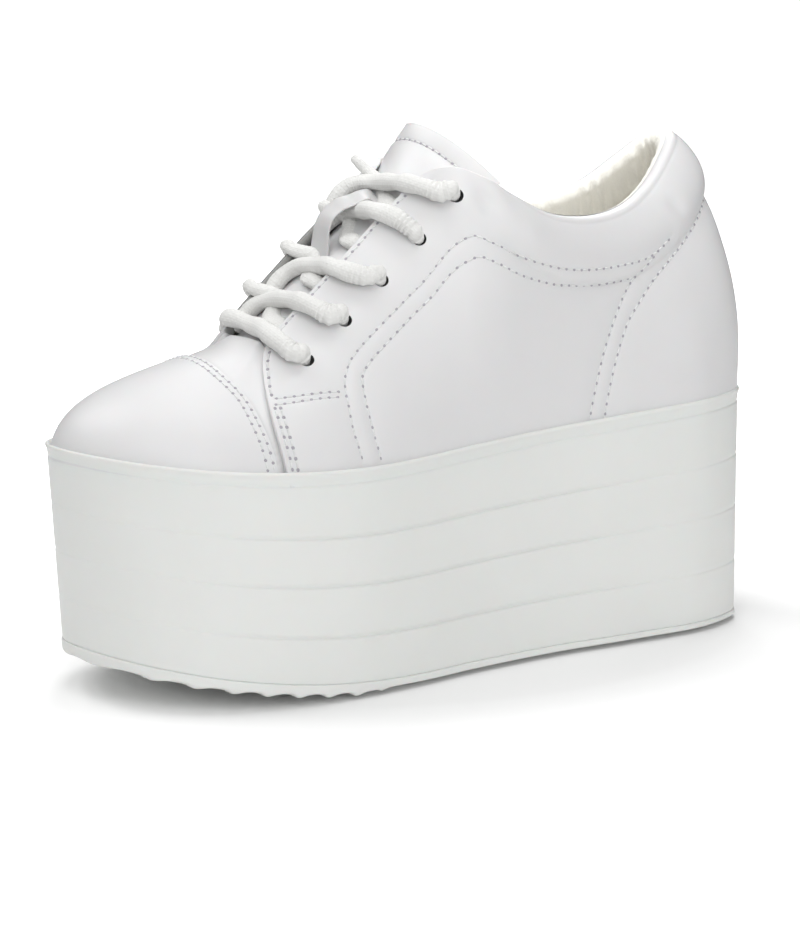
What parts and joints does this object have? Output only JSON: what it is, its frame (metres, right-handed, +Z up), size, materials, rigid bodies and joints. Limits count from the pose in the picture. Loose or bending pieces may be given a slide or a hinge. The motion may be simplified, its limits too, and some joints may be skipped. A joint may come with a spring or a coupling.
{
  "type": "platform sneaker",
  "caption": "Low-cut lace-up leather sneaker, left shoe, on a very high straight-sided platform sole ringed by fine grooves; open collar, toe cap, padded tongue.",
  "frame": {"origin": "middle of the shoe's length and width, on the floor it stands on", "axes": "+X to the toe, +Y to the shoe's left, which is the wearer's outer side, +Z up"},
  "size_m": [0.25, 0.0951, 0.1714],
  "materials": {
    "leather": "smooth, semi-matt white",
    "lining": "matt cream textile",
    "lace": "matt braided off-white cotton",
    "foam": "satin white moulded foam rubber",
    "rubber": "satin white moulded tread rubber"
  },
  "bodies": {
    "root": {"upper": "leather", "tongue": "leather", "lace_loop": "leather", "insole": "lining", "midsole": "foam", "outsole": "rubber", "lace_row_1": "lace", "lace_row_2": "lace", "lace_row_3": "lace", "lace_row_4": "lace", "lace_row_5": "lace"}
  },
  "joints": []
}
